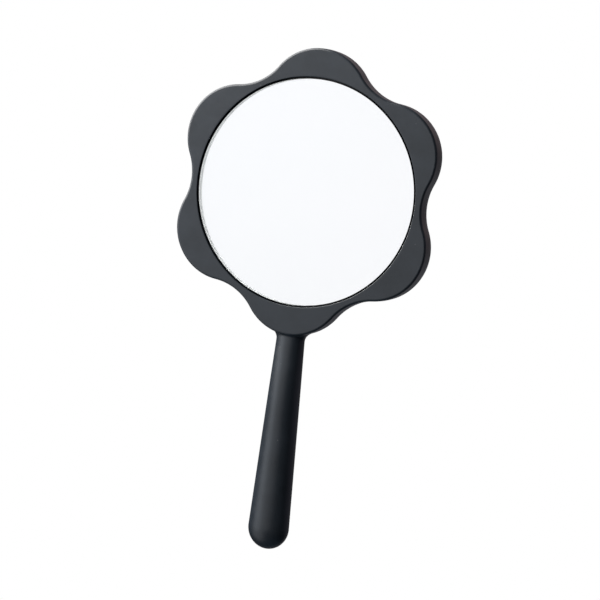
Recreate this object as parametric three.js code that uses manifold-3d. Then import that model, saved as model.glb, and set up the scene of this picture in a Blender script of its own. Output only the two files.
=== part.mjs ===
// Hand mirror with a six-petal head: two moulded plastic shells that part at mid-depth all the
// way round, and a round glass mirror taped into a pocket in the front one.
//
// The pieces are drawn in the head's frame: the origin is the middle of the front face, +X runs
// to the right, +Y into the depth of the mirror and +Z up the handle's axis. The whole assembly
// is then moved so that the part's own origin is on the handle's axis, where a hand holds it.

import * as THREE from "three";
import { mergeVertices } from "three/addons/utils/BufferGeometryUtils.js";
import Module from "manifold-3d";

const wasm = await Module();
wasm.setup();

// ---- Driving dimensions, in millimetres ----

// Head outline: convex petal arcs joined by concave valley arcs, all tangent to each other.
const PETALS = 6;
const PETAL_CENTRE = 44.6; // from the head's middle to the centre of a petal's arc
const PETAL_RADIUS = 26.6;
const VALLEY_CENTRE = 88.3; // from the head's middle to the centre of a valley's arc
const HEAD_DEPTH = 11;
const EDGE_ROUNDING = 1.1;
const BACK_DRAFT = 0.052; // the back shell's wall leans in by this share of its depth
const ARC_SEGMENTS = 6; // of each half arc of the outline

// Shells
const SEAM = 5.6; // depth of the parting plane behind the front face
const SEAM_GAP = 0.3;
const WALL = 2;
const TONGUE_INSET = 1.2; // the front shell's tongue fits inside the back shell's rebate
const TONGUE_LENGTH = 1.5;
const REBATE_INSET = 1;
const REBATE_DEPTH = 1.8;

// Glass pocket and what lies in it
const POCKET_RADIUS = 56.85;
const POCKET_WALL = 2;
const LIP_ROUNDING = 0.3;
const POCKET_FLOOR = 4.8; // depth of the floor that the tape sticks to
const FLOOR_THICKNESS = 1.6;
const GLASS_RADIUS = 56;
const GLASS_DEPTH = 0.55; // the glass lies this far below the front face
const GLASS_THICKNESS = 3;
const GLASS_CHAMFER = 0.1;
const FILM_THICKNESS = 0.1;
const PAINT_THICKNESS = 0.15;
const TAPE_THICKNESS = 0.8;
const TAPE_WIDTH = 15;
const TAPE_LENGTH = 64;
const TAPE_PITCH = 24;
const TAPES = 4;
const LAYER_GAP = 0.05;

// Handle: an oval bar that widens steadily from the neck to a round end
const NECK_HALF_WIDTH = 7.21;
const NECK_FILLET = 3.2;
const NECK_FRONT_DEPTH = 4.5; // from the parting plane to the handle's front at the neck
const TAPER = 0.0351; // gain in half-width per millimetre of length
const GRIP_HALF_DEPTH = 6;
const NECK_LENGTH = 34; // over which the handle reaches its full depth
const END_START = -167.9; // where the round end begins
const END_LENGTH = 10.8;
const LEAN = 0.0154; // the handle leans back by this share of its length below the neck
const HANDLE_TOP = -62; // inside the head

// Fastening and stiffening inside the shells
const BOSS_RADIUS = 3;
const SOCKET_RADIUS = 1.5;
const PEG_RADIUS = 1.25;
const PEG_REACH = 3; // how far a peg goes past the parting plane
const PEG_CIRCLE = 64.3;
const HANDLE_PEGS = [-92, -125, -158];
const RIB = 1.2;
const RIB_RING_RADIUS = 32;
const RADIAL_RIB = { from: 10, to: 56 };
const HANDLE_RIBS = [-84, -108, -142];

// The part's origin is this far below the head's middle, on the handle's axis.
const GRIP_DROP = 125;

const BIG = 400; // larger than the mirror, for the solids that cut it

// ---- From three.js geometry to solids and back ----

function solid(geometry) {
  const bare = geometry.clone();
  bare.deleteAttribute("normal");
  bare.deleteAttribute("uv");
  const merged = mergeVertices(bare, 1e-4);
  const mesh = new wasm.Mesh({
    numProp: 3,
    vertProperties: merged.getAttribute("position").array,
    triVerts: new Uint32Array(merged.index.array),
  });
  return new wasm.Manifold(mesh);
}

function geometryOf(body) {
  const mesh = body.getMesh();
  const geometry = new THREE.BufferGeometry();
  geometry.setAttribute("position", new THREE.BufferAttribute(mesh.vertProperties, 3));
  geometry.setIndex(new THREE.BufferAttribute(mesh.triVerts, 1));
  geometry.computeVertexNormals();
  return geometry;
}

const join = (first, ...others) => others.reduce((whole, next) => whole.add(next), first);
const cut = (first, ...others) => others.reduce((whole, next) => whole.subtract(next), first);

// ---- Basic shapes; front and back are depths behind the front face ----

function box(width, height, front, back, x = 0, z = 0) {
  const geometry = new THREE.BoxGeometry(width, back - front, height);
  return geometry.translate(x, (front + back) / 2, z);
}

function peg(radius, front, back, x, z) {
  const geometry = new THREE.CylinderGeometry(radius, radius, back - front, 12);
  return solid(geometry.translate(x, (front + back) / 2 + lean(z), z));
}

// A body of revolution about the glass's own axis, from [radius, depth] pairs in order of depth.
function disc(profile, segments = 60) {
  const points = profile.map(([radius, depth]) => new THREE.Vector2(radius, depth));
  return new THREE.LatheGeometry(points, segments);
}

function plainDisc(radius, front, back) {
  return disc([
    [0, front],
    [radius, front],
    [radius, back],
    [0, back],
  ]);
}

// ---- Head ----

function petalAngle(k) {
  return Math.PI / 2 + (k * 2 * Math.PI) / PETALS;
}

// Points along an arc, without its last one.
function arcPoints(x, y, radius, from, to) {
  const steps = 2 * ARC_SEGMENTS;
  return Array.from({ length: steps }, (_, i) => {
    const angle = THREE.MathUtils.lerp(from, to, i / steps);
    return new THREE.Vector2(x + radius * Math.cos(angle), y + radius * Math.sin(angle));
  });
}

// The flower's outline, shrunk all round by inset, anticlockwise.
function flower(inset) {
  const half = Math.PI / PETALS;
  const along = VALLEY_CENTRE * Math.cos(half) - PETAL_CENTRE;
  const across = VALLEY_CENTRE * Math.sin(half);
  const turn = Math.atan2(across, along); // half the sweep of a petal's arc
  const petalRadius = PETAL_RADIUS - inset;
  const valleyRadius = Math.hypot(across, along) - petalRadius;
  const points = [];
  for (let k = 0; k < PETALS; k++) {
    const petal = petalAngle(k);
    const petalX = PETAL_CENTRE * Math.cos(petal);
    const petalY = PETAL_CENTRE * Math.sin(petal);
    points.push(...arcPoints(petalX, petalY, petalRadius, petal - turn, petal + turn));
    const valley = petal + half;
    const valleyX = VALLEY_CENTRE * Math.cos(valley);
    const valleyY = VALLEY_CENTRE * Math.sin(valley);
    const start = petal + turn + Math.PI;
    const end = petal + 2 * half - turn + Math.PI;
    points.push(...arcPoints(valleyX, valleyY, valleyRadius, start, end));
  }
  return points;
}

// A flower-shaped body through outlines of the given [inset, depth] pairs, in order of depth.
function flowerBody(profile) {
  const rings = profile.map(([inset]) => flower(inset));
  const count = rings[0].length;
  const positions = rings.flatMap((ring, level) =>
    ring.flatMap((point) => [point.x, profile[level][1], point.y]),
  );
  const cap = THREE.ShapeUtils.triangulateShape(rings[0], []);
  const last = (rings.length - 1) * count;
  const triangles = cap.flatMap(([a, b, c]) => [a, b, c, last + a, last + c, last + b]);
  for (let a = 0; a < last; a++) {
    const b = (a + 1) % count === 0 ? a + 1 - count : a + 1;
    triangles.push(a, a + count, b, b, a + count, b + count);
  }
  const geometry = new THREE.BufferGeometry();
  geometry.setAttribute("position", new THREE.Float32BufferAttribute(positions, 3));
  geometry.setIndex(triangles);
  return solid(geometry);
}

function flowerPlate(front, back, inset = 0) {
  return flowerBody([
    [inset, front],
    [inset, back],
  ]);
}

// A quarter round of the head's edge as [inset, depth] pairs, from the face to the wall.
function roundedEdge() {
  const steps = 3;
  return Array.from({ length: steps + 1 }, (_, i) => {
    const angle = (i / steps) * (Math.PI / 2);
    return [EDGE_ROUNDING * (1 - Math.sin(angle)), EDGE_ROUNDING * (1 - Math.cos(angle))];
  });
}

function headFront() {
  return flowerBody([...roundedEdge(), [0, 2 * SEAM]]);
}

function headBack() {
  const leanedIn = (HEAD_DEPTH - EDGE_ROUNDING - SEAM) * BACK_DRAFT;
  const edge = roundedEdge().map(([inset, depth]) => [leanedIn + inset, HEAD_DEPTH - depth]);
  return flowerBody([[0, 0], [0, SEAM], ...edge.reverse()]);
}

// ---- Handle ----

// The neck's fillet is an arc tangent to the handle's side and to the bottom petal.
const filletX = NECK_HALF_WIDTH + NECK_FILLET;
const filletReach = PETAL_RADIUS + NECK_FILLET;
const filletRise = Math.sqrt(filletReach ** 2 - filletX ** 2);
const filletZ = -PETAL_CENTRE - filletRise;
const joinX = (filletX * PETAL_RADIUS) / filletReach;
const joinZ = -PETAL_CENTRE - (filletRise * PETAL_RADIUS) / filletReach;

function halfWidth(z) {
  if (z > joinZ) return joinX;
  if (z > filletZ) return filletX - Math.sqrt(NECK_FILLET ** 2 - (z - filletZ) ** 2);
  return NECK_HALF_WIDTH + TAPER * (filletZ - Math.max(z, END_START));
}

// Half-depth on one side of the parting plane, from neckDepth at the head to the full grip.
function halfDepth(z, neckDepth) {
  const share = THREE.MathUtils.smoothstep(joinZ - z, 0, NECK_LENGTH);
  return THREE.MathUtils.lerp(neckDepth, GRIP_HALF_DEPTH, share);
}

// Half-widths from the tip of the round end up to the top, shrunk all round by inset.
function handleProfile(inset, top) {
  const points = [];
  const endSteps = 8;
  for (let i = 0; i <= endSteps; i++) {
    const angle = (i / endSteps) * (Math.PI / 2);
    const radius = (halfWidth(END_START) - inset) * Math.sin(angle);
    points.push(new THREE.Vector2(radius, END_START - (END_LENGTH - inset) * Math.cos(angle)));
  }
  const neckSteps = 5;
  for (let i = neckSteps; i >= 1; i--) {
    const z = filletZ - (i / neckSteps) * (NECK_LENGTH - 2);
    points.push(new THREE.Vector2(halfWidth(z) - inset, z));
  }
  const filletSteps = 4;
  for (let i = 0; i <= filletSteps; i++) {
    const z = THREE.MathUtils.lerp(filletZ, joinZ, i / filletSteps);
    if (z < top) points.push(new THREE.Vector2(halfWidth(z) - inset, z));
  }
  points.push(new THREE.Vector2(halfWidth(top) - inset, top));
  points.push(new THREE.Vector2(0, top));
  return points;
}

// A turned bar of those half-widths, pressed into an oval: each point keeps its side and height,
// and its depth is scaled to the half-depth there.
function handleBar(inset, top = HANDLE_TOP) {
  const geometry = new THREE.LatheGeometry(handleProfile(inset, top), 32);
  geometry.rotateX(Math.PI / 2);
  const at = geometry.getAttribute("position");
  for (let i = 0; i < at.count; i++) {
    const z = at.getZ(i);
    const neckDepth = at.getY(i) < 0 ? NECK_FRONT_DEPTH : HEAD_DEPTH - SEAM;
    const ratio = (halfDepth(z, neckDepth) - inset) / (halfWidth(z) - inset);
    at.setY(i, SEAM + lean(z) + at.getY(i) * ratio);
  }
  return solid(geometry);
}

// How far the handle's middle lies behind the head's parting plane at height z.
function lean(z) {
  return LEAN * Math.max(0, filletZ - z);
}

// Everything between two depths, following the handle's lean.
function layer(front, back) {
  const heights = [BIG, filletZ, -BIG];
  const outline = new THREE.Shape([
    ...heights.map((z) => new THREE.Vector2(front + lean(z), z)),
    ...heights.reverse().map((z) => new THREE.Vector2(back + lean(z), z)),
  ]);
  const geometry = new THREE.ExtrudeGeometry(outline, { depth: BIG, bevelEnabled: false });
  geometry.rotateX(Math.PI / 2).rotateZ(Math.PI / 2);
  return solid(geometry.translate(-BIG / 2, 0, 0));
}

// ---- Shells ----

const frontOfSeam = SEAM - SEAM_GAP / 2;
const backOfSeam = SEAM + SEAM_GAP / 2;
const CAVITY_TOP = filletZ - WALL; // a solid web stays in the neck above it

// Where the pegs stand: one in each petal, and some down the handle.
const headPegs = Array.from({ length: PETALS }, (_, k) => [
  PEG_CIRCLE * Math.cos(petalAngle(k)),
  PEG_CIRCLE * Math.sin(petalAngle(k)),
]);
const handlePegs = HANDLE_PEGS.map((z) => [0, z]);

function pocket() {
  const profile = [
    [0, -1],
    [POCKET_RADIUS + LIP_ROUNDING, -1],
  ];
  const steps = 2;
  for (let i = 0; i <= steps; i++) {
    const angle = (i / steps) * (Math.PI / 2);
    profile.push([
      POCKET_RADIUS + LIP_ROUNDING * (1 - Math.sin(angle)),
      LIP_ROUNDING * (1 - Math.cos(angle)),
    ]);
  }
  profile.push([POCKET_RADIUS, POCKET_FLOOR], [0, POCKET_FLOOR]);
  return solid(disc(profile));
}

// The disc of material that the pocket is sunk into; its back stands behind the parting plane.
const floorBack = POCKET_FLOOR + FLOOR_THICKNESS;
const pocketWallRadius = POCKET_RADIUS + POCKET_WALL;

// Hollow petals round the pocket, open at the parting plane.
function petalHollows() {
  const core = solid(plainDisc(pocketWallRadius, 0, HEAD_DEPTH));
  return cut(flowerPlate(WALL, SEAM, WALL), core);
}

function tongue() {
  const outline = join(flowerPlate(WALL, HEAD_DEPTH, TONGUE_INSET), handleBar(TONGUE_INSET));
  const inside = join(flowerPlate(0, HEAD_DEPTH, WALL), handleBar(WALL));
  return cut(outline, inside).intersect(layer(frontOfSeam - 1, SEAM + TONGUE_LENGTH));
}

// Plates across the handle's hollow, between two depths.
function handleRibs(front, back) {
  const plates = HANDLE_RIBS.map((z) =>
    solid(box(BIG, RIB, front + lean(z), back + lean(z), 0, z)),
  );
  return join(...plates).intersect(handleBar(WALL / 2));
}

function frontShell() {
  const blank = join(headFront(), handleBar(0)).intersect(layer(-BIG / 2, frontOfSeam));
  const floor = solid(plainDisc(pocketWallRadius, SEAM / 2, floorBack));
  const hollow = cut(join(blank, floor), pocket(), petalHollows(), handleBar(WALL, CAVITY_TOP));
  const handleBossFront = SEAM - GRIP_HALF_DEPTH + 1.2;
  const bosses = [
    ...headPegs.map(([x, z]) => peg(BOSS_RADIUS, WALL / 2, frontOfSeam, x, z)),
    ...handlePegs.map(([x, z]) => peg(BOSS_RADIUS, handleBossFront, frontOfSeam, x, z)),
  ];
  const sockets = [...headPegs, ...handlePegs].map(([x, z]) =>
    peg(SOCKET_RADIUS, SEAM - PEG_REACH - 0.4, SEAM + REBATE_DEPTH, x, z),
  );
  const ribs = handleRibs(-BIG / 2, frontOfSeam);
  return cut(join(hollow, tongue(), ribs, ...bosses), ...sockets);
}

function backRibs() {
  const front = floorBack + SEAM_GAP;
  const back = HEAD_DEPTH - WALL + 0.3;
  const ring = solid(
    disc([
      [RIB_RING_RADIUS, front],
      [RIB_RING_RADIUS + RIB, front],
      [RIB_RING_RADIUS + RIB, back],
      [RIB_RING_RADIUS, back],
      [RIB_RING_RADIUS, front],
    ]),
  );
  const length = RADIAL_RIB.to - RADIAL_RIB.from;
  const middle = (RADIAL_RIB.to + RADIAL_RIB.from) / 2;
  const spokes = headPegs.map((_, k) =>
    solid(box(length, RIB, front, back, middle).rotateY(-petalAngle(k))),
  );
  return join(ring, ...spokes);
}

function backShell() {
  const blank = join(headBack(), handleBar(0)).intersect(layer(backOfSeam, BIG / 2));
  const rebate = join(flowerPlate(0, HEAD_DEPTH, REBATE_INSET), handleBar(REBATE_INSET));
  const hollow = cut(
    blank,
    flowerPlate(0, HEAD_DEPTH - WALL, WALL),
    handleBar(WALL, CAVITY_TOP),
    rebate.intersect(layer(0, SEAM + REBATE_DEPTH)),
  );
  const ribs = handleRibs(SEAM + REBATE_DEPTH, BIG / 2);
  const tip = SEAM - PEG_REACH;
  const handlePegRoot = SEAM + GRIP_HALF_DEPTH - 1;
  const pegs = [
    ...headPegs.map(([x, z]) => peg(PEG_RADIUS, tip, HEAD_DEPTH - 1, x, z)),
    ...handlePegs.map(([x, z]) => peg(PEG_RADIUS, tip, handlePegRoot, x, z)),
  ];
  return join(hollow, backRibs(), ribs, ...pegs);
}

// ---- Mirror, its layers and its tape ----

function mirrorGlass() {
  const back = GLASS_DEPTH + GLASS_THICKNESS;
  return disc([
    [0, GLASS_DEPTH],
    [GLASS_RADIUS - GLASS_CHAMFER, GLASS_DEPTH],
    [GLASS_RADIUS, GLASS_DEPTH + GLASS_CHAMFER],
    [GLASS_RADIUS, back - GLASS_CHAMFER],
    [GLASS_RADIUS - GLASS_CHAMFER, back],
    [0, back],
  ]);
}

const filmFront = GLASS_DEPTH + GLASS_THICKNESS + LAYER_GAP;
const paintFront = filmFront + FILM_THICKNESS + LAYER_GAP;
const tapeFront = paintFront + PAINT_THICKNESS + LAYER_GAP;
const coatRadius = GLASS_RADIUS - GLASS_CHAMFER;

function tapeStrip(k) {
  const x = (k - (TAPES - 1) / 2) * TAPE_PITCH;
  return box(TAPE_WIDTH, TAPE_LENGTH, tapeFront, tapeFront + TAPE_THICKNESS, x);
}

// ---- Assembly ----

const satinPlastic = () =>
  new THREE.MeshStandardMaterial({ color: 0x26292d, roughness: 0.45, metalness: 0 });

function piece(name, geometry, material) {
  const mesh = new THREE.Mesh(geometry, material);
  mesh.name = name;
  return mesh;
}

const assembly = new THREE.Group();
assembly.position.set(0, -SEAM - lean(-GRIP_DROP), GRIP_DROP);
assembly.add(
  piece("front_shell", geometryOf(frontShell()), satinPlastic()),
  piece("back_shell", geometryOf(backShell()), satinPlastic()),
  piece(
    "mirror_glass",
    mirrorGlass(),
    new THREE.MeshStandardMaterial({ color: 0xe8f2ee, roughness: 0.02, metalness: 0 }),
  ),
  piece(
    "silver_film",
    plainDisc(coatRadius, filmFront, filmFront + FILM_THICKNESS),
    new THREE.MeshStandardMaterial({ color: 0xf4f6f7, roughness: 0.01, metalness: 1 }),
  ),
  piece(
    "backing_paint",
    plainDisc(coatRadius, paintFront, paintFront + PAINT_THICKNESS),
    new THREE.MeshStandardMaterial({ color: 0x6d747a, roughness: 0.7, metalness: 0 }),
  ),
);
for (let k = 0; k < TAPES; k++) {
  const foam = new THREE.MeshStandardMaterial({ color: 0xdcdcd6, roughness: 0.9, metalness: 0 });
  assembly.add(piece(`foam_tape_${k + 1}`, tapeStrip(k), foam));
}

const handMirror = new THREE.Group();
handMirror.add(assembly);

export default handMirror;
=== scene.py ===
"""Looks for the hand mirror: smooth moulded shells, a silvered glass and soft studio light.

Shapes are worked out in millimetres in the head's own frame (x to the right, y into the depth
behind the front face, z up from the middle of the head) and moved to the CAD frame at the end.
"""

import math

import bpy
import numpy as np
from mathutils import Matrix, Vector


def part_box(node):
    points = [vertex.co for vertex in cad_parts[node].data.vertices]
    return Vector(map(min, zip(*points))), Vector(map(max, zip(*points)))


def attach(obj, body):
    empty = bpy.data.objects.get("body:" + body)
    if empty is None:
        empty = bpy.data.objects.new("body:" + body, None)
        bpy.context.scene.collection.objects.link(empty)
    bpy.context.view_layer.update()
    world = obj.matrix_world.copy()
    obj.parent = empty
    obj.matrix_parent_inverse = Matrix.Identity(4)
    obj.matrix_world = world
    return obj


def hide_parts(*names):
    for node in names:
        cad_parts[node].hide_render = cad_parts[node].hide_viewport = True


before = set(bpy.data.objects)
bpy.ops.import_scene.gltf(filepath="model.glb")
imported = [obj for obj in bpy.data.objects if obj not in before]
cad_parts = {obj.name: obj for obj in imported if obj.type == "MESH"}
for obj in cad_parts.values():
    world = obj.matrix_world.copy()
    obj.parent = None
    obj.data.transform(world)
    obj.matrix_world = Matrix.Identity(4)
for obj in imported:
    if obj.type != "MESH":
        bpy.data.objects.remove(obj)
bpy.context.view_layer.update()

MM = 0.001

# ---- Where the CAD puts things ----

glass_low, glass_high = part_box("mirror_glass")
shell_low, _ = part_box("front_shell")
HEAD_MIDDLE = ((glass_low.x + glass_high.x) / 2, shell_low.y, (glass_low.z + glass_high.z) / 2)

# ---- Sizes in millimetres, as in the CAD source ----

PETALS = 6
PETAL_CENTRE = 44.6
PETAL_RADIUS = 26.6
VALLEY_CENTRE = 88.3
HEAD_DEPTH = 11.0
EDGE_ROUNDING = 1.1
BACK_DRAFT = 0.052  # the back shell's wall leans in by this share of its depth
SEAM = 5.6
POCKET_RADIUS = 56.85
LIP_ROUNDING = 0.3
POCKET_FLOOR = 4.8
FLOOR_BACK = 6.4
SHELL_WALL = 2.0
GLASS_RADIUS = 56.0
GLASS_FRONT = 0.55
GLASS_BACK = 3.55
GLASS_CHAMFER = 0.1
NECK_HALF_WIDTH = 7.21
NECK_TOP = -72.52
NECK_FRONT_DEPTH = 4.5
NECK_BACK_DEPTH = HEAD_DEPTH - SEAM
DEPTH_START = -69.5
DEPTH_LENGTH = 34.0
TAPER = 0.0351
GRIP_HALF_DEPTH = 6.0
END_START = -167.9
END_LENGTH = 10.8
LEAN = 0.0154

# ---- Sizes of the looks alone, in millimetres ----

SEAM_GAP = 0.05  # between the two shells
HANDLE_TOP = -50.0  # inside the head
FACE_FILLET = 1.0  # reach of the soft blend between the face's edge and the handle
SIDE_FILLET = 3.8  # and between the bottom petal and the handle's sides
SIDE_WIDTH = (0.6, 1.0)  # the side blend sets in over these shares of the handle's half width
SIDE_DEPTH = (1.5, 4.0)  # and over these distances from the head's two faces

# ---- The outer surface as a function that is zero on it and negative inside ----


def smoothstep(x, low, high):
    t = np.clip((x - low) / (high - low), 0, 1)
    return t * t * (3 - 2 * t)


HALF = math.pi / PETALS
VALLEY_X = VALLEY_CENTRE * math.cos(HALF)
VALLEY_Y = VALLEY_CENTRE * math.sin(HALF)
TURN = math.atan2(VALLEY_Y, VALLEY_X - PETAL_CENTRE)
VALLEY_RADIUS = math.hypot(VALLEY_Y, VALLEY_X - PETAL_CENTRE) - PETAL_RADIUS


def flower_distance(x, z):
    """How far a point lies outside the flower outline."""
    angle = np.arctan2(z, x) - math.pi / 2
    angle = np.mod(angle + HALF, 2 * HALF) - HALF
    r = np.hypot(x, z)
    px, py = r * np.cos(angle), np.abs(r * np.sin(angle))
    petal = np.hypot(px - PETAL_CENTRE, py) - PETAL_RADIUS
    valley = VALLEY_RADIUS - np.hypot(px - VALLEY_X, py - VALLEY_Y)
    in_petal = (VALLEY_X - PETAL_CENTRE) * py < VALLEY_Y * (px - PETAL_CENTRE)
    return np.where(in_petal, petal, valley)


def head_distance(x, y, z):
    out = flower_distance(x, z) + np.maximum(0, y - SEAM) * BACK_DRAFT + EDGE_ROUNDING
    over = np.abs(y - HEAD_DEPTH / 2) - (HEAD_DEPTH / 2 - EDGE_ROUNDING)
    inside = np.minimum(np.maximum(out, over), 0)
    return inside + np.hypot(np.maximum(out, 0), np.maximum(over, 0)) - EDGE_ROUNDING


def handle_middle(z):
    """Depth of the handle's middle, which is also its parting plane."""
    return SEAM + LEAN * np.maximum(0, NECK_TOP - z)


def half_width(z):
    return NECK_HALF_WIDTH + TAPER * (NECK_TOP - np.maximum(z, END_START))


def half_depth(z, neck):
    share = smoothstep(DEPTH_START - z, 0, DEPTH_LENGTH)
    return neck + (GRIP_HALF_DEPTH - neck) * share


def handle_distance(x, y, z):
    """Scaled so that it is close to a distance in millimetres near the surface."""
    depth = y - handle_middle(z)
    a = half_width(z)
    b = half_depth(z, np.where(depth < 0, NECK_FRONT_DEPTH, NECK_BACK_DEPTH))
    e = np.maximum(0, END_START - z) / END_LENGTH
    rho = np.sqrt((x / a) ** 2 + (depth / b) ** 2 + e**2) + 1e-9
    slope = np.sqrt((x / a**2) ** 2 + (depth / b**2) ** 2 + (e / END_LENGTH) ** 2) / rho
    return np.maximum((rho - 1) / np.maximum(slope, 0.02), z - HANDLE_TOP)


def body_distance(x, y, z):
    """Head and handle joined by a soft blend, which reaches further at the handle's sides."""
    head, handle = head_distance(x, y, z), handle_distance(x, y, z)
    side = smoothstep(np.abs(x) / half_width(z), *SIDE_WIDTH)
    side = side * smoothstep(np.minimum(y, HEAD_DEPTH - y), *SIDE_DEPTH)
    reach = FACE_FILLET + (SIDE_FILLET - FACE_FILLET) * side
    near = np.maximum(reach - np.abs(head - handle), 0) / reach
    return np.minimum(head, handle) - near**2 * reach / 4


PROBE = 1e-3  # millimetres either way when a slope is measured
LONGEST_STEP = 1.0


def settle(points, in_plane, half, steps=6):
    """Moves points on to the outer surface; those in_plane stay on the shell's rim plane."""
    for _ in range(steps):
        value = body_distance(*points.T)
        slope = np.zeros_like(points)
        for axis in range(3):
            shift = np.zeros(3)
            shift[axis] = PROBE
            ahead = body_distance(*(points + shift).T)
            behind = body_distance(*(points - shift).T)
            slope[:, axis] = (ahead - behind) / (2 * PROBE)
        slope[in_plane, 1] = 0
        size = np.maximum((slope**2).sum(1), 1e-6)
        step = np.clip(value / size, -LONGEST_STEP, LONGEST_STEP)[:, None] * slope
        points = points - step
        points[in_plane, 1] = half.rim_depth(points[in_plane, 2])
    return points


# ---- Columns of the mesh: points of the flower outline with their inward direction ----

BOTTOM_PETAL = 3  # counted anticlockwise from the top one
CORNER_X = 10.2  # where the neck's columns start and end on the bottom petal
PETAL_STEPS = 52
VALLEY_STEPS = 24
CORNER_STEPS = 16  # on the bottom petal, on each side of the neck
NECK_COLUMNS = 40


def outline_columns():
    """From the neck's right corner anticlockwise round to its left corner, then across the neck."""
    corner = math.asin(CORNER_X / PETAL_RADIUS)
    points, inward = [], []

    def petal_arc(k, start, end, steps):
        axis = math.pi / 2 + 2 * HALF * k
        centre = PETAL_CENTRE * np.array([math.cos(axis), math.sin(axis)])
        for i in range(steps):
            a = axis + start + (end - start) * i / steps
            d = np.array([math.cos(a), math.sin(a)])
            points.append(centre + PETAL_RADIUS * d)
            inward.append(-d)

    def valley_arc(k):
        axis = math.pi / 2 + 2 * HALF * k + HALF
        centre = VALLEY_CENTRE * np.array([math.cos(axis), math.sin(axis)])
        sweep = TURN - HALF
        for i in range(VALLEY_STEPS):
            a = axis + math.pi + sweep * (1 - 2 * i / VALLEY_STEPS)
            d = np.array([math.cos(a), math.sin(a)])
            points.append(centre + VALLEY_RADIUS * d)
            inward.append(d)

    last_petal = BOTTOM_PETAL + PETALS
    petal_arc(BOTTOM_PETAL, corner, TURN, CORNER_STEPS)
    for k in range(BOTTOM_PETAL, last_petal):
        valley_arc(k)
        if k + 1 < last_petal:
            petal_arc(k + 1, -TURN, TURN, PETAL_STEPS)
    petal_arc(last_petal, -TURN, -corner, CORNER_STEPS)
    left = len(points)
    for i in range(NECK_COLUMNS):
        x = CORNER_X * math.sin(math.pi * (i / NECK_COLUMNS - 0.5))
        a = math.asin(x / PETAL_RADIUS)
        d = np.array([math.sin(a), -math.cos(a)])
        points.append(np.array([0, -PETAL_CENTRE]) + PETAL_RADIUS * d)
        inward.append(-d)
    return np.array(points), np.array(inward), left


OUTLINE, INWARD, LEFT = outline_columns()
NECK = [(LEFT + i) % len(OUTLINE) for i in range(NECK_COLUMNS + 1)]
RING = list(range(0, LEFT + 1))

# ---- Mesh gathering ----


class Net:
    """Points and faces of a mesh on the way."""

    def __init__(self):
        self.points, self.faces = [], []

    def row(self, points):
        first = len(self.points)
        self.points.extend([tuple(p) for p in points])
        return list(range(first, first + len(points)))

    def band(self, a, b, closed=False):
        """Quads between two rows of the same length."""
        n = len(a)
        for i in range(n if closed else n - 1):
            j = (i + 1) % n
            self.face([a[i], a[j], b[j], b[i]])

    def face(self, corners):
        """Leaves out corners that fall together, and faces that have none left."""
        kept = [c for i, c in enumerate(corners) if c != corners[i - 1]]
        if len(set(kept)) > 2:
            self.faces.append(kept)

    def fan(self, row, tip):
        n = len(row)
        for i in range(n):
            self.face([row[i], row[(i + 1) % n], tip])


def depth_rows(xz, y):
    y = np.broadcast_to(y, (len(xz),))
    return np.stack([xz[:, 0], y, xz[:, 1]], 1)


def toward_circle(xz, radius, share=1):
    """Points moved by that share of the way to the circle of the radius, along their own rays."""
    on_circle = xz / np.linalg.norm(xz, axis=1)[:, None] * radius
    return xz + share * (on_circle - xz)


# ---- The two moulded shells ----

FACE_EDGE = OUTLINE + (EDGE_ROUNDING + 0.5) * INWARD
FACE_INSET = OUTLINE + (EDGE_ROUNDING + 1.2) * INWARD
FRONT_SHARES = (0.25, 0.5, 0.75, 0.92, 1.0)  # rows between the face's inset and the pocket
BACK_SHARES = np.linspace(0.125, 1, 8)  # rows between the back's inset and its middle
BACK_MIDDLE_RADIUS = 12.0
POCKET_DEPTHS = (0.9, 2.2, 3.5, POCKET_FLOOR)
POCKET_FLOOR_RADII = (54.0, 30.0)
ROUNDING_STEPS = 6
ROUNDING_START = 0.15  # how far inside the edge's rounding its first row lies
WALL_SHARES = (0.08, 0.3, 0.55, 0.8, 1.0)
NECK_SIDE = ((8.3, -70.9), (7.4, -73.0))  # x and z that the patch's side passes by
NECK_SIDE_ROWS = 14
PATCH_END = -78.0
RELAX_ROUNDS = 160
RELAX_WEIGHT = 0.6
HANDLE_ROWS = 66
END_ROWS = 18
HIDDEN_FLOOR_RADIUS = 58.0
HIDDEN_MIDDLE_RADIUS = 20.0
HALF_TURN = np.linspace(-math.pi / 2, math.pi / 2, NECK_COLUMNS + 1)


class Half:
    """What differs between the front and the back shell."""

    def __init__(self, is_front):
        self.is_front = is_front
        self.side = -1 if is_front else 1
        self.neck_depth = NECK_FRONT_DEPTH if is_front else NECK_BACK_DEPTH
        self.parting = SEAM + self.side * SEAM_GAP / 2
        self.reach = self.parting if is_front else HEAD_DEPTH - self.parting
        self.draft = 0.0 if is_front else BACK_DRAFT

    def depth(self, t):
        """Depth of what lies t behind this shell's own face."""
        return t if self.is_front else HEAD_DEPTH - t

    def rim_depth(self, z):
        """Depth of the shell's rim down the handle."""
        return handle_middle(z) + self.side * SEAM_GAP / 2

    def section(self, z, scale=1.0):
        """Points half way round the handle, from its left side to its right."""
        a = half_width(z) * scale
        b = half_depth(z, self.neck_depth) * scale
        y = handle_middle(z) + self.side * b * np.cos(HALF_TURN)
        y[0] = y[-1] = self.rim_depth(z)
        return np.stack([a * np.sin(HALF_TURN), y, np.full(len(y), z)], 1)


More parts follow.
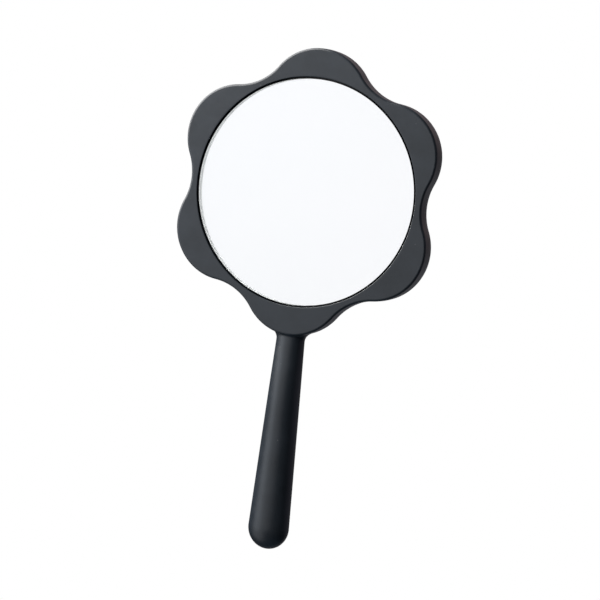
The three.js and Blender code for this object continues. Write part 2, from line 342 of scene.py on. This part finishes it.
def pocket_rows(net):
    """The rounded lip, the wall and the floor of the pocket, without the floor's middle."""
    rows = []
    for i in range(1, ROUNDING_STEPS + 1):
        a = i / ROUNDING_STEPS * math.pi / 2
        circle = toward_circle(FACE_INSET, POCKET_RADIUS + LIP_ROUNDING * (1 - math.sin(a)))
        rows.append(net.row(depth_rows(circle, LIP_ROUNDING * (1 - math.cos(a)))))
    for y in POCKET_DEPTHS:
        rows.append(net.row(depth_rows(toward_circle(FACE_INSET, POCKET_RADIUS), y)))
    for radius in POCKET_FLOOR_RADII:
        rows.append(net.row(depth_rows(toward_circle(FACE_INSET, radius), POCKET_FLOOR)))
    return rows


def add_face(net, half):
    """The face with its pocket, or the plain back; returns its outermost row."""
    rows = [net.row(depth_rows(points, half.depth(0))) for points in (FACE_EDGE, FACE_INSET)]
    inner = POCKET_RADIUS + LIP_ROUNDING if half.is_front else BACK_MIDDLE_RADIUS
    for share in FRONT_SHARES if half.is_front else BACK_SHARES:
        points = toward_circle(FACE_INSET, inner, share)
        rows.append(net.row(depth_rows(points, half.depth(0))))
    if half.is_front:
        rows += pocket_rows(net)
    for a, b in zip(rows, rows[1:]):
        net.band(a, b, closed=True)
    middle_depth = POCKET_FLOOR if half.is_front else HEAD_DEPTH
    net.fan(rows[-1], net.row([(0, middle_depth, 0)])[0])
    return rows[0]


def add_wall(net, half, face_row):
    """The rounded edge and side wall of the head, outside the neck: its points and its rows."""
    profile = [(EDGE_ROUNDING + ROUNDING_START + half.draft * half.reach, 0.0)]
    for i in range(ROUNDING_STEPS + 1):
        a = i / ROUNDING_STEPS * math.pi / 2
        t = EDGE_ROUNDING * (1 - math.cos(a))
        profile.append((EDGE_ROUNDING * (1 - math.sin(a)) + half.draft * (half.reach - t), t))
    for share in WALL_SHARES:
        t = EDGE_ROUNDING + (half.reach - EDGE_ROUNDING) * share
        profile.append((half.draft * (half.reach - t), t))
    wall = np.stack([depth_rows(OUTLINE + s * INWARD, half.depth(t))[RING] for s, t in profile])
    in_plane = np.zeros(wall.shape[:2], bool)
    in_plane[-1] = True
    wall = settle(wall.reshape(-1, 3), in_plane.ravel(), half).reshape(wall.shape)
    rows = [net.row(points) for points in wall]
    previous = [face_row[j] for j in RING]
    for row in rows:
        net.band(row, previous)
        previous = row
    return wall, rows


def neck_side(half, corner):
    """The right edge of the neck's patch, in the rim's plane from the petal to the handle."""
    path = [(CORNER_X, OUTLINE[0][1]), *NECK_SIDE, (half_width(PATCH_END), PATCH_END)]
    path = np.array(path)
    lengths = np.concatenate([[0], np.cumsum(np.linalg.norm(np.diff(path, axis=0), axis=1))])
    at = np.linspace(0, lengths[-1], NECK_SIDE_ROWS + 1)
    xz = np.stack([np.interp(at, lengths, path[:, 0]), np.interp(at, lengths, path[:, 1])], 1)
    side = depth_rows(xz, half.rim_depth(xz[:, 1]))
    end = side[-1].copy()
    side = settle(side, np.ones(len(side), bool), half)
    side[0] = corner
    side[-1] = end
    return side


def neck_patch(half, wall):
    """A grid of points from the face's edge over the rounding and down on to the handle."""
    count = len(wall)
    side = neck_side(half, wall[-1][0])
    last = count + NECK_SIDE_ROWS
    patch = np.zeros((last + 1, NECK_COLUMNS + 1, 3))
    patch[0] = depth_rows(FACE_EDGE, half.depth(0))[NECK]
    patch[1 : count + 1, 0] = wall[:, -1]
    patch[1 : count + 1, -1] = wall[:, 0]
    patch[count:, 0] = side * np.array([-1, 1, 1])
    patch[count:, -1] = side
    patch[-1] = half.section(PATCH_END)

    # Coons surface between the four edges, then evened out on the outer surface.
    v = np.linspace(0, 1, last + 1)[:, None, None]
    u = ((np.sin(HALF_TURN) + 1) / 2)[None, :, None]
    corners = (
        (1 - u) * (1 - v) * patch[0, 0]
        + u * (1 - v) * patch[0, -1]
        + (1 - u) * v * patch[-1, 0]
        + u * v * patch[-1, -1]
    )
    ruled = (1 - v) * patch[0][None] + v * patch[-1][None]
    coons = ruled + (1 - u) * patch[:, :1] + u * patch[:, -1:] - corners
    patch[1:-1, 1:-1] = coons[1:-1, 1:-1]
    inner_shape = patch[1:-1, 1:-1].shape
    free = np.zeros(inner_shape[0] * inner_shape[1], bool)
    for turn in range(RELAX_ROUNDS):
        around = patch[:-2, 1:-1] + patch[2:, 1:-1] + patch[1:-1, :-2] + patch[1:-1, 2:]
        moved = patch[1:-1, 1:-1] * (1 - RELAX_WEIGHT) + around / 4 * RELAX_WEIGHT
        steps = 2 if turn < RELAX_ROUNDS - 1 else 8
        moved = settle(moved.reshape(-1, 3), free, half, steps)
        patch[1:-1, 1:-1] = moved.reshape(inner_shape)
    return patch


def add_neck(net, patch, face_row, wall_rows):
    rows = [[face_row[j] for j in NECK]]
    for r in range(1, len(patch)):
        inside = net.row(patch[r, 1:-1])
        if r <= len(wall_rows):
            ends = wall_rows[r - 1][-1], wall_rows[r - 1][0]
        else:
            ends = net.row([patch[r, 0], patch[r, -1]])
        rows.append([ends[0], *inside, ends[1]])
    for a, b in zip(rows, rows[1:]):
        net.band(b, a)
    return rows


def add_handle(net, half, top_row):
    """The handle down to its round end: its rows and its tip."""
    rows = [top_row]
    for z in np.linspace(PATCH_END, END_START, HANDLE_ROWS)[1:]:
        rows.append(net.row(half.section(z)))
    for i in range(1, END_ROWS):
        a = i / END_ROWS * math.pi / 2
        z = END_START - END_LENGTH * math.sin(a)
        rows.append(net.row(half.section(z, math.cos(a))))
    for a, b in zip(rows, rows[1:]):
        net.band(b, a)
    tip_z = END_START - END_LENGTH
    tip = net.row([(0, half.rim_depth(tip_z), tip_z)])[0]
    for i in range(NECK_COLUMNS):
        net.face([tip, rows[-1][i + 1], rows[-1][i]])
    return rows, tip


def add_underside(net, edge_rows, tip):
    """Closes the handle along the parting plane; returns the row across its top."""
    rows = []
    for row in edge_rows:
        left, right = np.array(net.points[row[0]]), np.array(net.points[row[-1]])
        inner = [left + (right - left) * (s + 1) / 2 for s in np.sin(HALF_TURN)[1:-1]]
        rows.append([row[0], *net.row(inner), row[-1]])
    for a, b in zip(rows, rows[1:]):
        net.band(a, b)
    for i in range(NECK_COLUMNS):
        net.face([rows[-1][i], rows[-1][i + 1], tip])
    return rows[0]


def add_inside(net, half, loop):
    """The hidden inside of the head, from the loop round it: the pocket's back, or a tray."""
    xz = np.array([net.points[j] for j in loop])[:, [0, 2]]
    if half.is_front:
        on_floor = toward_circle(xz, HIDDEN_FLOOR_RADIUS)
        bottom = FLOOR_BACK
        hidden = [(on_floor, half.parting), (on_floor, bottom)]
        hidden.append((toward_circle(xz, HIDDEN_MIDDLE_RADIUS), bottom))
    else:
        shorter = xz * (1 - SHELL_WALL / np.linalg.norm(xz, axis=1))[:, None]
        bottom = HEAD_DEPTH - SHELL_WALL
        hidden = [(shorter, half.parting), (shorter, bottom)]
        hidden.append((toward_circle(shorter, HIDDEN_MIDDLE_RADIUS), bottom))
    previous = loop
    for points, y in hidden:
        row = net.row(depth_rows(points, y))
        net.band(row, previous, closed=True)
        previous = row
    net.fan(previous[::-1], net.row([(0, bottom, 0)])[0])


def shell(is_front):
    """One moulded shell as a closed mesh, in the head's frame."""
    half = Half(is_front)
    net = Net()
    face_row = add_face(net, half)
    wall, wall_rows = add_wall(net, half, face_row)
    neck_rows = add_neck(net, neck_patch(half, wall), face_row, wall_rows)
    handle_rows, tip = add_handle(net, half, neck_rows[-1])
    top_row = add_underside(net, neck_rows[len(wall_rows) :] + handle_rows[1:], tip)
    add_inside(net, half, [*wall_rows[-1][:-1], *top_row[:-1]])
    return net


LATHE_SEGMENTS = 288


def lathe(profile):
    """A closed body turned about the head's axis from (radius, depth) pairs, axis to axis."""
    net = Net()
    turn = np.arange(LATHE_SEGMENTS) * 2 * math.pi / LATHE_SEGMENTS
    circle = np.stack([np.cos(turn), np.sin(turn)], 1)
    rows = [net.row(depth_rows(circle * r, y)) for r, y in profile[1:-1]]
    for a, b in zip(rows, rows[1:]):
        net.band(a, b, closed=True)
    net.fan(rows[0][::-1], net.row([(0, profile[0][1], 0)])[0])
    net.fan(rows[-1], net.row([(0, profile[-1][1], 0)])[0])
    return net


def signed_volume(mesh):
    mesh.calc_loop_triangles()
    co = np.array([v.co for v in mesh.vertices])
    tri = np.array([t.vertices for t in mesh.loop_triangles])
    a, b, c = co[tri[:, 0]], co[tri[:, 1]], co[tri[:, 2]]
    return np.einsum("ij,ij->i", a, np.cross(b, c)).sum() / 6


def to_object(name, net, sharp_degrees=40):
    points = np.array(net.points) * MM + np.array(HEAD_MIDDLE)
    mesh = bpy.data.meshes.new(name)
    mesh.from_pydata(points.tolist(), [], net.faces)
    mesh.validate()
    if signed_volume(mesh) < 0:
        mesh.flip_normals()
    mesh.polygons.foreach_set("use_smooth", [True] * len(mesh.polygons))
    mesh.set_sharp_from_angle(angle=math.radians(sharp_degrees))
    mesh.update()
    obj = bpy.data.objects.new(name, mesh)
    bpy.context.scene.collection.objects.link(obj)
    return obj


# ---- Materials ----


def principled(name, **settings):
    material = bpy.data.materials.new(name)
    material.use_nodes = True
    tree = material.node_tree
    shader = tree.nodes["Principled BSDF"]
    for socket, value in settings.items():
        shader.inputs[socket.replace("_", " ")].default_value = value
    return material, tree, shader


def noise(tree, scale, detail):
    coordinates = tree.nodes.new("ShaderNodeTexCoord")
    node = tree.nodes.new("ShaderNodeTexNoise")
    node.inputs["Scale"].default_value = scale
    node.inputs["Detail"].default_value = detail
    tree.links.new(coordinates.outputs["Object"], node.inputs["Vector"])
    return node.outputs["Fac"]


def mapped(tree, value, source, target=(0, 1)):
    """The value with the source's low and high ends moved to the target's."""
    node = tree.nodes.new("ShaderNodeMapRange")
    node.inputs["From Min"].default_value = source[0]
    node.inputs["From Max"].default_value = source[1]
    node.inputs["To Min"].default_value = target[0]
    node.inputs["To Max"].default_value = target[1]
    tree.links.new(value, node.inputs["Value"])
    return node.outputs["Result"]


def mixed(tree, factor, first, second):
    """Each of first and second is an (r, g, b) colour or another node's output."""
    node = tree.nodes.new("ShaderNodeMix")
    node.data_type = "RGBA"
    tree.links.new(factor, node.inputs[0])
    for socket, colour in ((6, first), (7, second)):
        if isinstance(colour, tuple):
            node.inputs[socket].default_value = (*colour, 1)
        else:
            tree.links.new(colour, node.inputs[socket])
    return node.outputs[2]


def bumped(tree, shader, height, distance, strength):
    node = tree.nodes.new("ShaderNodeBump")
    node.inputs["Strength"].default_value = strength
    node.inputs["Distance"].default_value = distance
    tree.links.new(height, node.inputs["Height"])
    tree.links.new(node.outputs["Normal"], shader.inputs["Normal"])


PLASTIC_DARK = (0.0162, 0.0212, 0.0275)
PLASTIC_LIGHT = (0.0214, 0.0275, 0.0355)
PLASTIC_ROUGHNESS = (0.31, 0.37)
DUST = (0.10, 0.105, 0.11)
# painted shade: the ground edge's outside is near black for the shade that falls in its slot,
# varied by grain
EDGE_SLOT_SHADE_DARK = (0.02, 0.022, 0.022)
EDGE_SLOT_SHADE_LIGHT = (0.035, 0.038, 0.038)
# the frosted inside's colour, which is also the colour of its painted glow
FROST_AND_GLOW_DARK = (0.80, 0.83, 0.83)
FROST_AND_GLOW_LIGHT = (0.92, 0.94, 0.94)
PAINTED_EDGE_GLOW = 0.45  # painted glow that the ground edge gives off of its own, standing in for light that the glass sheet carries to it


def dust_specks(tree):
    """Small round specks where both a cell's middle and a rare patch of noise fall."""
    coordinates = tree.nodes.new("ShaderNodeTexCoord")
    cells = tree.nodes.new("ShaderNodeTexVoronoi")
    cells.inputs["Scale"].default_value = 260.0
    tree.links.new(coordinates.outputs["Object"], cells.inputs["Vector"])
    specks = mapped(tree, cells.outputs["Distance"], (0.05, 0.09), (1, 0))
    rare = mapped(tree, noise(tree, 140.0, 0.0), (0.6, 0.66))
    both = tree.nodes.new("ShaderNodeMath")
    both.operation = "MULTIPLY"
    tree.links.new(specks, both.inputs[0])
    tree.links.new(rare, both.inputs[1])
    return both.outputs[0]


def plastic_material():
    material, tree, shader = principled("satin_charcoal")
    cloud = mapped(tree, noise(tree, 90.0, 3.0), (0.35, 0.65))
    colour = mixed(tree, cloud, PLASTIC_DARK, PLASTIC_LIGHT)
    dusty = mixed(tree, dust_specks(tree), colour, DUST)
    tree.links.new(dusty, shader.inputs["Base Color"])
    rough = mapped(tree, noise(tree, 300.0, 3.0), (0.3, 0.7), PLASTIC_ROUGHNESS)
    tree.links.new(rough, shader.inputs["Roughness"])
    bumped(tree, shader, noise(tree, 2600.0, 2.0), 0.00002, 0.5)
    return material


def glass_material():
    material, tree, shader = principled(
        "clear_glass", Roughness=0.0, IOR=1.5, Transmission_Weight=1.0
    )
    cloud = mapped(tree, noise(tree, 20.0, 1.0), (0.3, 0.7))
    colour = mixed(tree, cloud, (0.985, 0.992, 0.99), (0.99, 0.995, 0.993))
    tree.links.new(colour, shader.inputs["Base Color"])
    return material


def ground_edge_material():
    """A ground glass edge: from outside near black, painted shade for its slot; inside frosty with
    a painted glow of its own.
    """
    material, tree, outside = principled("ground_glass_edge", Roughness=0.6)
    grain = mapped(tree, noise(tree, 900.0, 3.0), (0.3, 0.7))
    # painted shade of the slot on the edge's outside
    painted_slot_shade = mixed(tree, grain, EDGE_SLOT_SHADE_DARK, EDGE_SLOT_SHADE_LIGHT)
    tree.links.new(painted_slot_shade, outside.inputs["Base Color"])
    inside = tree.nodes.new("ShaderNodeBsdfPrincipled")
    inside.inputs["Roughness"].default_value = 1.0
    frost_and_glow = mixed(tree, grain, FROST_AND_GLOW_DARK, FROST_AND_GLOW_LIGHT)
    tree.links.new(frost_and_glow, inside.inputs["Base Color"])
    # painted glow: the frosted inside gives off light of its own, as though lit through the glass
    # sheet
    tree.links.new(frost_and_glow, inside.inputs["Emission Color"])
    inside.inputs["Emission Strength"].default_value = PAINTED_EDGE_GLOW
    side = tree.nodes.new("ShaderNodeNewGeometry")
    mix = tree.nodes.new("ShaderNodeMixShader")
    tree.links.new(side.outputs["Backfacing"], mix.inputs[0])
    tree.links.new(outside.outputs[0], mix.inputs[1])
    tree.links.new(inside.outputs[0], mix.inputs[2])
    tree.links.new(mix.outputs[0], tree.nodes["Material Output"].inputs["Surface"])
    return material


def film_material():
    material, tree, shader = principled("silvering", Metallic=1.0, Roughness=0.0)
    cloud = mapped(tree, noise(tree, 15.0, 1.0), (0.3, 0.7))
    colour = mixed(tree, cloud, (0.955, 0.965, 0.97), (0.96, 0.97, 0.975))
    tree.links.new(colour, shader.inputs["Base Color"])
    return material


def paint_material():
    material, tree, shader = principled("backing_paint_grey", Roughness=0.6)
    cloud = mapped(tree, noise(tree, 120.0, 4.0), (0.3, 0.7))
    colour = mixed(tree, cloud, (0.16, 0.18, 0.20), (0.22, 0.24, 0.26))
    tree.links.new(colour, shader.inputs["Base Color"])
    bumped(tree, shader, noise(tree, 800.0, 3.0), 0.00002, 0.4)
    return material


def foam_material():
    material, tree, shader = principled("tape_foam", Roughness=0.9)
    cells = mapped(tree, noise(tree, 1500.0, 2.0), (0.3, 0.7))
    colour = mixed(tree, cells, (0.68, 0.68, 0.64), (0.78, 0.78, 0.74))
    tree.links.new(colour, shader.inputs["Base Color"])
    bumped(tree, shader, cells, 0.0001, 0.6)
    return material


# ---- Pieces ----

plastic = plastic_material()
for piece_name, node, is_front in (
    ("frame_front", "front_shell", True),
    ("frame_back", "back_shell", False),
):
    piece = to_object(piece_name, shell(is_front))
    piece.data.materials.append(plastic)
    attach(piece, "root")
    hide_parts(node)

POLISHED_RADIUS = GLASS_RADIUS - GLASS_CHAMFER
GLASS_INNER_RADIUS = 40.0  # a row of its own keeps the long faces even
glass_net = lathe(
    [
        (0, GLASS_FRONT),
        (GLASS_INNER_RADIUS, GLASS_FRONT),
        (POLISHED_RADIUS - 0.4, GLASS_FRONT),
        (POLISHED_RADIUS, GLASS_FRONT),
        (GLASS_RADIUS, GLASS_FRONT + GLASS_CHAMFER),
        (GLASS_RADIUS, GLASS_BACK - GLASS_CHAMFER),
        (POLISHED_RADIUS, GLASS_BACK),
        (GLASS_INNER_RADIUS, GLASS_BACK),
        (0, GLASS_BACK),
    ]
)
glass = to_object("glass_disc", glass_net, sharp_degrees=20)
glass.data.materials.append(glass_material())
glass.data.materials.append(ground_edge_material())
for polygon in glass.data.polygons:
    centre = polygon.center
    radius = math.hypot(centre.x - HEAD_MIDDLE[0], centre.z - HEAD_MIDDLE[2])
    polygon.material_index = 1 if radius > POLISHED_RADIUS * MM else 0
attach(glass, "root")
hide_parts("mirror_glass")


def dress(node, material):
    """Gives a CAD node that stays in sight its material."""
    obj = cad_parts[node]
    obj.data.materials.clear()
    obj.data.materials.append(material)


dress("silver_film", film_material())
dress("backing_paint", paint_material())
foam = foam_material()
for k in range(1, 5):
    dress(f"foam_tape_{k}", foam)

# ---- Floor, light and camera ----

FLOOR_RADIUS = 3.0
FLOOR_HEIGHT = -0.6
FLOOR_CORNERS = 96
FLOOR_GLOW = 0.5  # keeps the floor pale where little light falls on it


def floor():
    mesh = bpy.data.meshes.new("floor")
    turns = [2 * math.pi * i / FLOOR_CORNERS for i in range(FLOOR_CORNERS)]
    ring = [(FLOOR_RADIUS * math.cos(a), FLOOR_RADIUS * math.sin(a), FLOOR_HEIGHT) for a in turns]
    mesh.from_pydata(ring, [], [list(range(FLOOR_CORNERS))])
    obj = bpy.data.objects.new("floor", mesh)
    bpy.context.scene.collection.objects.link(obj)
    material, tree, shader = principled("pale_floor", Roughness=0.9)
    colour = mixed(tree, noise(tree, 3.0, 2.0), (0.90, 0.90, 0.90), (0.94, 0.94, 0.94))
    tree.links.new(colour, shader.inputs["Base Color"])
    tree.links.new(colour, shader.inputs["Emission Color"])
    shader.inputs["Emission Strength"].default_value = FLOOR_GLOW
    mesh.materials.append(material)
    obj.visible_diffuse = False
    obj.visible_glossy = False
    obj.visible_transmission = False
    obj.visible_shadow = False


floor()

# Soft boxes on the sphere round the mirror: direction (azimuth to the right of the mirror's
# front, elevation), the angles inside which a box is full and outside which it is off, colour.
LOBES = [
    (-50, 0, 8, 20, (1.47, 1.58, 1.74)),
    (-36, 0, 8, 20, (0.18, 0.19, 0.20)),
    (-22, 0, 8, 20, (0.70, 0.69, 0.705)),
    (-10, 0, 6, 17, (0.31, 0.31, 0.315)),
    (-50, -28, 5, 30, (0.90, 0.90, 0.90)),
    (180, 42, 0, 55, (0.35, 0.29, 0.30)),
    (180, -42, 0, 55, (0.22, 0.22, 0.24)),
    (100, 10, 0, 50, (0.20, 0.20, 0.25)),
    (0, -80, 0, 50, (0.06, 0.10, 0.14)),
    (0, -1, 3, 5.5, (0.66, 0.66, 0.645)),
    (135, -20, 0, 35, (0.16, 0.15, 0.16)),
]
AMBIENT = (0.005, 0.005, 0.006)
WORLD_MAP_SIZE = 512  # fine enough for the narrowest box

# A round lamp near the mirror, by the same angles, aimed at its middle.
LAMP_AZIMUTH = -70
LAMP_ELEVATION = 40
LAMP_WATTS = 9.0
LAMP_COLOUR = (1.0, 0.98, 0.96)
LAMP_AIM = Vector((0, 0.005, 0.06))
LAMP_DISTANCE = 0.5
LAMP_SIZE = 0.7


def direction(azimuth, elevation):
    a, e = math.radians(azimuth), math.radians(elevation)
    return (math.sin(a) * math.cos(e), -math.cos(a) * math.cos(e), math.sin(e))


def studio_world():
    """Soft boxes light the scene, and a white backdrop stands behind it."""
    world = bpy.data.worlds.new("studio")
    bpy.context.scene.world = world
    world.use_nodes = True
    tree = world.node_tree
    tree.nodes.clear()
    output = tree.nodes.new("ShaderNodeOutputWorld")
    coordinates = tree.nodes.new("ShaderNodeTexCoord")
    total = None
    for azimuth, elevation, full, off, colour in LOBES:
        dot = tree.nodes.new("ShaderNodeVectorMath")
        dot.operation = "DOT_PRODUCT"
        dot.inputs[1].default_value = direction(azimuth, elevation)
        tree.links.new(coordinates.outputs["Generated"], dot.inputs[0])
        share = tree.nodes.new("ShaderNodeMapRange")
        share.interpolation_type = "SMOOTHSTEP"
        share.inputs["From Min"].default_value = math.cos(math.radians(off))
        share.inputs["From Max"].default_value = math.cos(math.radians(full))
        tree.links.new(dot.outputs["Value"], share.inputs["Value"])
        scaled = tree.nodes.new("ShaderNodeVectorMath")
        scaled.operation = "MULTIPLY_ADD"
        scaled.inputs[1].default_value = colour
        tree.links.new(share.outputs["Result"], scaled.inputs[0])
        if total is None:
            scaled.inputs[2].default_value = AMBIENT
        else:
            tree.links.new(total, scaled.inputs[2])
        total = scaled.outputs["Vector"]
    light = tree.nodes.new("ShaderNodeBackground")
    tree.links.new(total, light.inputs["Color"])
    backdrop = tree.nodes.new("ShaderNodeBackground")
    backdrop.inputs["Color"].default_value = (1, 1, 1, 1)
    path = tree.nodes.new("ShaderNodeLightPath")
    mix = tree.nodes.new("ShaderNodeMixShader")
    tree.links.new(path.outputs["Is Camera Ray"], mix.inputs[0])
    tree.links.new(light.outputs[0], mix.inputs[1])
    tree.links.new(backdrop.outputs[0], mix.inputs[2])
    tree.links.new(mix.outputs[0], output.inputs["Surface"])
    world.cycles.sampling_method = "MANUAL"
    world.cycles.sample_map_resolution = WORLD_MAP_SIZE


def lamp():
    data = bpy.data.lights.new("lamp_1", "AREA")
    data.shape = "DISK"
    data.size = LAMP_SIZE
    data.energy = LAMP_WATTS
    data.color = LAMP_COLOUR
    obj = bpy.data.objects.new(data.name, data)
    bpy.context.scene.collection.objects.link(obj)
    outward = Vector(direction(LAMP_AZIMUTH, LAMP_ELEVATION))
    obj.location = LAMP_AIM + outward * LAMP_DISTANCE
    obj.rotation_euler = (-outward).to_track_quat("-Z", "Y").to_euler()
    obj.visible_camera = False


studio_world()
lamp()

CAMERA_TARGET = Vector((0.002127, 0.0, 0.071559))
CAMERA_AZIMUTH = 18.6151
CAMERA_ELEVATION = 3.7105
CAMERA_ROLL = 6.9636
CAMERA_DISTANCE = 1.63218
CAMERA_LENS = 197.82
CAMERA_SENSOR = 36
CAMERA_CLIP_END = 50


def camera():
    azimuth, roll = math.radians(CAMERA_AZIMUTH), math.radians(CAMERA_ROLL)
    forward = -Vector(direction(CAMERA_AZIMUTH, CAMERA_ELEVATION))
    level = Vector((math.cos(azimuth), math.sin(azimuth), 0))
    upright = level.cross(forward)
    right = level * math.cos(roll) + upright * math.sin(roll)
    up = upright * math.cos(roll) - level * math.sin(roll)
    place = CAMERA_TARGET - forward * CAMERA_DISTANCE
    data = bpy.data.cameras.new("camera")
    data.lens = CAMERA_LENS
    data.sensor_width = CAMERA_SENSOR
    data.clip_end = CAMERA_CLIP_END
    obj = bpy.data.objects.new("camera", data)
    bpy.context.scene.collection.objects.link(obj)
    turn = Matrix((right, up, -forward)).transposed()
    obj.matrix_world = Matrix.Translation(place) @ turn.to_4x4()
    bpy.context.scene.camera = obj


camera()
bpy.context.scene.view_settings.view_transform = "Standard"
